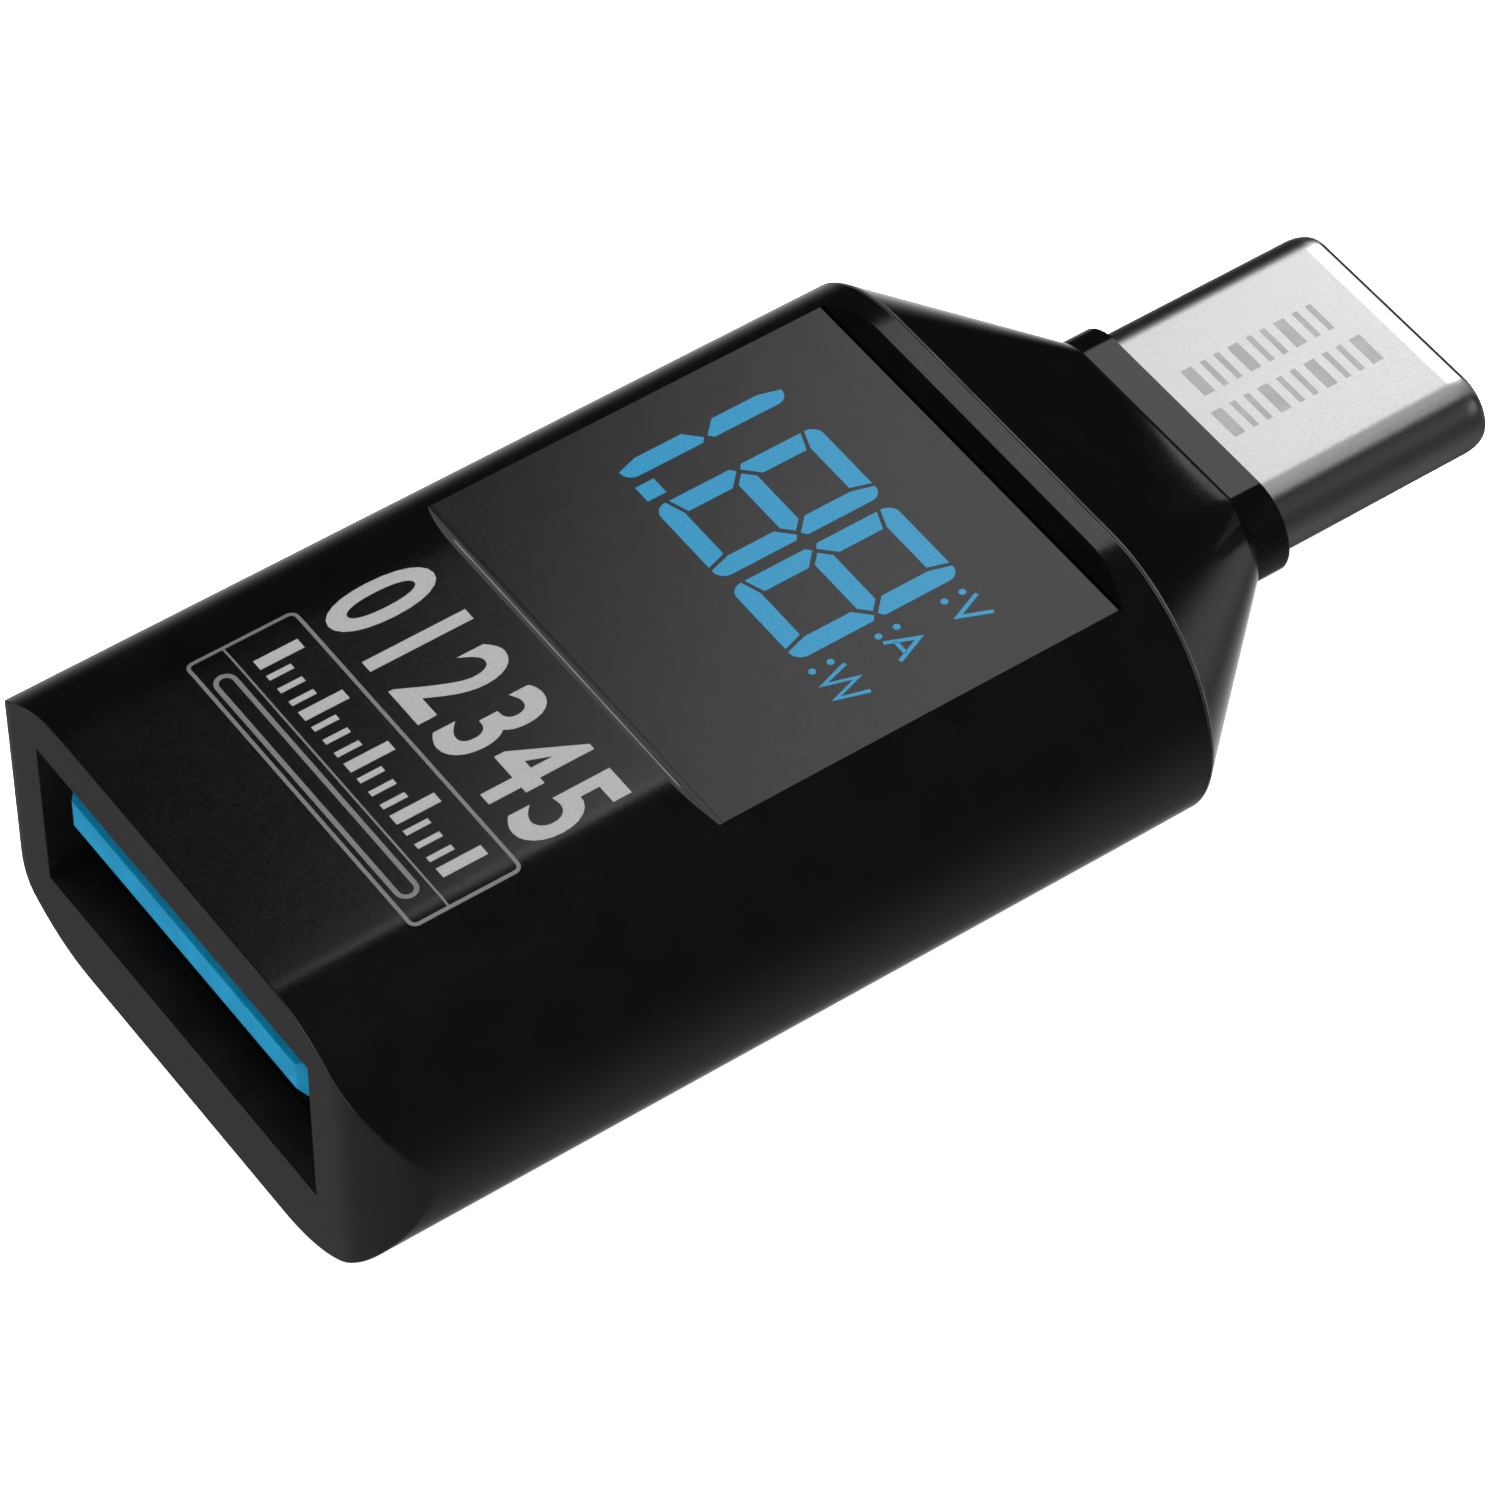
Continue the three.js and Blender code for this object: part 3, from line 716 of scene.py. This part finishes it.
def segments():
    """The seven segments' outlines by name, with u from 0 to the width and v from the middle."""
    w, h, s, r = (DIGIT[k] for k in ("width", "half_height", "stroke", "corner"))
    bar = [(0.005, h - r - 0.02)] + arc(r, h - r, r, 180, 90) + [
        (w - 0.5, h), (w - 0.69, h - s), (s, h - s)]
    left = [(0, h - 0.48), (s, h - 0.69), (s, 0.475), (0.15, 0.06), (0, 0.18)]
    right = [(w - 0.38, h)] + arc(w - r, h - r, r, 90, 0) + [
        (w, 0.18), (w - 0.15, 0.06), (w - s, 0.475), (w - s, h - 0.62)]
    middle = [(0.28, 0), (s, 0.285), (w - s, 0.285), (w - 0.28, 0), (w - s, -0.285), (s, -0.285)]

    def flip(outline):
        return [(u, -v) for u, v in outline]

    return {"a": bar, "b": right, "c": flip(right), "d": flip(bar), "e": flip(left), "f": left,
            "g": middle}


def on_display(outline, left_y, mid_x=DIGIT_MID_X):
    return [(mid_x + v, left_y - u) for u, v in outline]


def lit(name, outlines):
    mesh = flat_mesh(outlines, level(NOTCH_FLOOR), LIT_THICKNESS)
    return fit(link(name, mesh), SEGMENT, "diffuser")


def display_digits():
    shape = segments()
    spots = {"left": (4.23 + DIGIT["width"], "bc"), "middle": (3.08, "abcdefg"),
             "right": (-0.24, "abcdefg")}
    for name, (left_y, parts) in spots.items():
        lit(f"digit_{name}", [on_display(shape[part], left_y) for part in parts])
    x0, y0, side = 16.5, 3.37, DIGIT["stroke"]
    x1, y1 = x0 + side, y0 + side
    lit("digit_point", [[(x0, y0), (x1, y0), (x1, y1), (x0, y1)]])


def display_units():
    """The letters V, A and W, each after a pair of dots."""
    cap, line = 0.85, 0.115
    letters = {
        "volt": (20.6, [[(0, cap), (0.36, 0), (0.72, cap)]]),
        "ampere": (18.57, [[(0, 0), (0.36, cap), (0.72, 0)], [(0.13, 0.27), (0.59, 0.27)]]),
        "watt": (16.55, [[(0, cap), (0.27, 0), (0.545, cap), (0.82, 0), (1.09, cap)]]),
    }
    start_y, dot_y, dot_radius = -3.93, -3.68, 0.1
    for name, (base_x, lines) in letters.items():
        shapes = [stroke([(base_x + v, start_y - u) for u, v in points], line)
                  for points in lines]
        for lift in (0.03, 0.59):
            shapes.append(arc(base_x + lift, dot_y, dot_radius, 0, 345, 23))
        lit(f"unit_{name}", shapes)


# ---- print on the top

PRINT_CREASES = (4.4, 4.55, 4.7, 4.85, 5.0)  # where it bends, so that it follows the roll
CAP_HEIGHT = 0.73                            # of the typeface, in parts of its size


def printed(name, outlines, ink):
    mesh = flat_mesh(outlines, surface, INK, PRINT_CREASES)
    return fit(link(name, mesh), ink, "housing")


def rounded(x0, x1, half_width, radius, steps=6):
    """A rectangle with rounded corners, the same on both sides of the middle."""
    w = half_width - radius
    return (arc(x1 - radius, w, radius, 0, 90, steps) + arc(x0 + radius, w, radius, 90, 180, steps)
            + arc(x0 + radius, -w, radius, 180, 270, steps)
            + arc(x1 - radius, -w, radius, 270, 360, steps))


def frame_line(x0, x1, half_width, radius, line):
    return [rounded(x0, x1, half_width, radius),
            rounded(x0 + line, x1 - line, half_width - line, max(radius - line, 0.02))]


def port_outline():
    """The printed outline: a box with a dividing line and a long slot below it."""
    box = frame_line(3.75, 7.02, half_width=5.13, radius=0.24, line=0.105)
    slot = frame_line(3.99, 4.65, half_width=4.34, radius=0.33, line=0.135)
    x0, x1, half = 4.84, 4.9, 5.05
    divider = [(x0, -half), (x1, -half), (x1, half), (x0, half)]
    return printed("print_outline", [box, divider, slot], SILVER_LINE)


def scale_ticks():
    """A ruled scale inside the box, in which every fourth tick is long."""
    base, pitch = 5.25, 0.51
    ticks = []
    for i in range(-8, 9):
        tall, wide = (1.3, 0.17) if i % 4 == 0 else (0.72, 0.09)
        y = i * pitch
        ticks.append([(base, y - wide), (base + tall, y - wide), (base + tall, y + wide),
                      (base, y + wide)])
    return printed("print_scale", ticks, SILVER)


def scale_numerals():
    """The numerals 0 to 5 beside the scale, in Blender's own typeface."""
    count, height, base, pitch, squeeze = 6, 3.1, 7.52, 1.66, 0.66
    bm = bmesh.new()
    for i in range(count):
        text = bpy.data.curves.new("numeral", "FONT")
        text.body = str(i)
        text.align_x = "CENTER"
        text.size = height / CAP_HEIGHT
        text.offset = 0.085
        text.fill_mode = "FRONT"
        text.resolution_u = 6
        shape = link("numeral", text)
        mesh = bpy.data.meshes.new_from_object(shape)
        bpy.data.objects.remove(shape)
        glyph = bmesh.new()
        glyph.from_mesh(mesh)
        # The heavier line makes two corners cross at the tip of the 4's counter: they become
        # one, and the numeral is filled again inside its outline
        bmesh.ops.remove_doubles(glyph, verts=glyph.verts, dist=0.13 if i == 4 else 0.002)
        inside = [edge for edge in glyph.edges if len(edge.link_faces) == 2]
        bmesh.ops.delete(glyph, geom=glyph.faces[:], context="FACES_ONLY")
        bmesh.ops.delete(glyph, geom=inside, context="EDGES")
        bmesh.ops.triangle_fill(glyph, use_beauty=True, edges=glyph.edges)
        glyph.to_mesh(mesh)
        glyph.free()
        centre_y = ((count - 1) / 2 - i) * pitch
        mesh.transform(Matrix(((0, 1, 0, base), (-squeeze, 0, 0, centre_y), (0, 0, 1, 0),
                               (0, 0, 0, 1))))
        bm.from_mesh(mesh)
    mesh = finish_flat(bm, surface, INK, PRINT_CREASES)
    return fit(link("print_numerals", mesh), SILVER, "housing")


# ---- marks on the plug

MARK_THICKNESS = 0.004


def plug_marks():
    """Two rows of plain bars on the plug's top, every third one thick."""
    thick, thin, space, half = 0.34, 0.17, 0.28, 0.525
    bars = []
    for row_y, start, count in ((0.82, 32.0, 9), (-0.8, 31.75, 10)):
        x = start
        for i in range(count):
            wide = thick if i % 3 == 0 else thin
            bars.append([(x, row_y - half), (x + wide, row_y - half),
                         (x + wide, row_y + half), (x, row_y + half)])
            x += wide + space
    mesh = flat_mesh(bars, level(PLUG[1].z), MARK_THICKNESS)
    return fit(link("plug_marks", mesh), MARK, "plug_steel")


# ---------------------------------------------------------------- refined CAD pieces


def refined(node_name, name, bevel, finish, slot, move):
    """The CAD node's own shape with its corners moved and edges broken, standing for it."""
    mesh = frame["nodes"][node_name].data.copy()
    bm = bmesh.new()
    bm.from_mesh(mesh)
    bmesh.ops.remove_doubles(bm, verts=bm.verts, dist=0.002 * MM)
    bmesh.ops.dissolve_limit(bm, angle_limit=math.radians(1), verts=bm.verts, edges=bm.edges)
    for v in bm.verts:
        move(v.co)
    bm.to_mesh(mesh)
    bm.free()
    piece = link(name, mesh)
    modifier = piece.modifiers.new("edges", "BEVEL")
    modifier.width = bevel * MM
    modifier.segments = 2
    modifier.limit_method = "ANGLE"
    modifier.angle_limit = math.radians(30)
    modifier.use_clamp_overlap = True
    smooth(mesh, 30)
    fit(piece, finish, slot, node_name)
    return piece


def widen_window(corner):
    """Spreads the display window as far as the notch's edges."""
    gap = 0.002
    corner.y *= (NOTCH_REACH - gap) / WINDOW[1].y


def raise_tongue(corner):
    """Gives the tongue a taller front face, with less of a chamfer above it."""
    lift, front_depth = 0.06 * MM, 0.1 * MM
    lowest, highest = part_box("socket_insulator")
    if corner.x < lowest.x + front_depth and corner.z > (lowest.z + highest.z) / 2:
        corner.z += lift


# ---------------------------------------------------------------- carried-over CAD nodes

KEPT = {
    # The socket's shell gets the near-black steel, as painted shade
    "socket_steel": ["socket_shell"],
    "black_moulding": ["plug_insulator_upper", "plug_insulator_lower", "display_header_left",
                       "display_header_right", "meter_chip", "regulator_chip", "esd_array_1",
                       "esd_array_2"],
    "board": ["main_board", "display_board"],
    "reflector": ["display_reflector"],
    "diffuser": ["display_diffuser"],
    "ceramic": ["shunt_resistor"] + [f"capacitor_{i}" for i in range(1, 5)],
    # the plug's steel has painted shade and highlight by which way it faces
    "plug_steel": ["plug_latch_plate", "ground_spring_top", "ground_spring_bottom"],
    "contact_metal": [f"socket_contact_{i}" for i in range(1, 5)]
    + [f"socket_fast_contact_{i}" for i in range(1, 6)]
    + [f"plug_contact_{row}_{i}" for row in ("upper", "lower") for i in range(1, 13)],
}


def dress_cad_nodes():
    for slot, names in KEPT.items():
        for name in names:
            slots = frame["nodes"][name].data.materials
            slots.clear()
            slots.append(FINISH[slot])


# ---------------------------------------------------------------- studio


CAMERA_PLACE = (-0.07600, -0.10566, 0.15175)   # metres
CAMERA_TURN = (40.715, 0.030, -35.124)         # degrees
CAMERA_LENS = 184.54                           # millimetres, for a sensor 36 mm wide


def camera():
    data = bpy.data.cameras.new("camera")
    data.sensor_width = 36
    data.lens = CAMERA_LENS
    data.dof.use_dof = False
    data.clip_start, data.clip_end = 0.01, 10
    eye = bpy.data.objects.new("camera", data)
    bpy.context.scene.collection.objects.link(eye)
    eye.rotation_mode = "XYZ"
    eye.location = CAMERA_PLACE
    eye.rotation_euler = [math.radians(a) for a in CAMERA_TURN]
    bpy.context.scene.camera = eye


def floor():
    made = material("floor", (0.9, 0.9, 0.9), 0.9, Emission_Color=(1, 1, 1, 1),
                    Emission_Strength=0.9)
    bm = bmesh.new()
    bmesh.ops.create_circle(bm, cap_ends=True, segments=96, radius=1.5)
    mesh = bpy.data.meshes.new("floor")
    bm.to_mesh(mesh)
    bm.free()
    ground = link("floor", mesh)
    ground.data.materials.append(made)
    ground.visible_glossy = False


def area_light(name, place, target, size, watts):
    """A soft lamp that isn't seen in reflections."""
    data = bpy.data.lights.new(name, "AREA")
    data.shape = "DISK"
    data.size = size
    data.energy = watts
    lamp = bpy.data.objects.new(name, data)
    bpy.context.scene.collection.objects.link(lamp)
    lamp.location = place
    lamp.rotation_euler = (Vector(target) - Vector(place)).to_track_quat("-Z", "Y").to_euler()
    lamp.visible_glossy = False


def softbox(name, centre, width, depth, strength, dim, fade):
    """A glowing card, seen only in reflections. Going from its -x +y corner towards the opposite
    one it rises from dim to strength; fade says where that starts and ends, in metres from the
    card's middle along x."""
    mesh = bpy.data.meshes.new(name)
    w, d = width / 2, depth / 2
    mesh.from_pydata([(-w, -d, 0), (w, -d, 0), (w, d, 0), (-w, d, 0)], [], [(0, 1, 2, 3)])
    card = link(name, mesh)
    card.location = centre
    made = bpy.data.materials.new(name)
    made.use_nodes = True
    made.node_tree.nodes.clear()
    out = node(made, "ShaderNodeOutputMaterial")
    glow = node(made, "ShaderNodeEmission")
    place = node(made, "ShaderNodeTexCoord")
    across = node(made, "ShaderNodeVectorMath", operation="DOT_PRODUCT")
    across.inputs[1].default_value = (1, -1, 0)
    join(made, place.outputs["Object"], across.inputs[0])
    rise = remap(made, across.outputs["Value"], fade, (dim, strength))
    join(made, rise, glow.inputs["Strength"])
    join(made, glow.outputs["Emission"], out.inputs["Surface"])
    mesh.materials.append(made)
    card.visible_camera = False
    card.visible_diffuse = False
    card.visible_shadow = False
    card.visible_transmission = False


def region(made, *steps):
    """A soft-edged region of the sky: the product of steps (value, from, to), each 0 to 1."""
    product = None
    for value, start, end in steps:
        step = remap(made, value, (start, end), (0, 1))
        product = step if product is None else calculate(made, "MULTIPLY", product, step)
    return product


def world():
    """White to look at. In reflections it is a dim room over a pale floor, which is brightest
    behind the meter, towards +x and +y, with pale cards on the other sides."""
    made = bpy.data.worlds.new("studio")
    bpy.context.scene.world = made
    made.use_nodes = True
    made.node_tree.nodes.clear()
    out = node(made, "ShaderNodeOutputWorld")
    seen = node(made, "ShaderNodeBackground", Color=(1, 1, 1, 1), Strength=1.0)
    room = node(made, "ShaderNodeBackground", Color=(1, 1, 1, 1), Strength=1.0)
    path = node(made, "ShaderNodeLightPath")
    mix = node(made, "ShaderNodeMixShader")
    place = node(made, "ShaderNodeTexCoord")
    axes = node(made, "ShaderNodeSeparateXYZ")
    join(made, place.outputs["Generated"], axes.inputs["Vector"])
    x, y, z = (axes.outputs[i] for i in "XYZ")
    aside = calculate(made, "ABSOLUTE", y, 0)
    lower = (z, -0.1, -0.8)
    parts = [
        # The floor: behind the meter, all round, and in front of it
        (1.3, region(made, (y, 0.03, 0.72), (x, 0.1, 0.7), lower)),
        (0.12, region(made, lower)),
        (0.08, region(made, (x, -0.1, -0.45), lower)),
        # A window low behind the plug, a paler corner under it, and the wall on the near side
        (1.7, region(made, (z, 0.08, 0.24), (x, 0.5, 0.7), (x, 0.92, 0.82), (y, 0.25, 0.5))),
        (0.3, region(made, (x, 0.8, 0.95), (z, -0.1, -0.3), (y, 0.4, 0.1))),
        (0.06, region(made, (y, 0.5, -0.7))),
        # Cards for the sides turned away from the main view: near left, far left, near right,
        # low left, overhead, and one on each side
        (1.1, region(made, (x, -0.15, -0.4), (y, 0.25, 0.0), (z, 0.1, 0.35))),
        (0.8, region(made, (x, -0.3, -0.5), (y, 0.62, 0.8), (z, 0.05, 0.25))),
        (1.0, region(made, (x, 0.55, 0.7), (y, -0.3, -0.5), (z, 0.1, 0.3), (z, 0.6, 0.4))),
        (0.3, region(made, (x, 0.15, -0.15), (z, -0.58, -0.42), (z, 0.2, 0.05))),
        (0.9, region(made, (x, 0.28, 0.1), (z, 0.8, 0.93))),
        (0.6, region(made, (x, 0.2, 0.05), (x, -0.4, -0.2), (aside, 0.75, 0.9), (z, 0.05, 0.2))),
    ]
    light = 0.012    # the same from everywhere, to which the parts are added
    for strength, part in parts:
        light = calculate(made, "ADD", light, calculate(made, "MULTIPLY", part, strength))
    join(made, light, room.inputs["Strength"])
    join(made, path.outputs["Is Camera Ray"], mix.inputs["Fac"])
    join(made, room.outputs["Background"], mix.inputs[1])
    join(made, seen.outputs["Background"], mix.inputs[2])
    join(made, mix.outputs["Shader"], out.inputs["Surface"])


def studio():
    camera()
    floor()
    world()
    area_light("key", (0.15, 0.2, 0.8), (0, 0, 0), 1.0, 24)
    softbox("top_card", (0.245, 0.21, 0.25), 0.35, 0.18, 1.66, 0.02, (-0.120, -0.082))
    view = bpy.context.scene.view_settings
    view.view_transform = "Standard"
    view.look = "None"


# ---------------------------------------------------------------- the meter

body_sleeve()
nose_cap()
plug_shell()
display_digits()
display_units()
port_outline()
scale_ticks()
scale_numerals()
plug_marks()
refined("display_window", "display_glass", 0.012, FINISH["window"], "window", widen_window)
refined("socket_insulator", "socket_tongue", 0.02, FINISH["tongue"], "tongue", raise_tongue)
dress_cad_nodes()
studio()
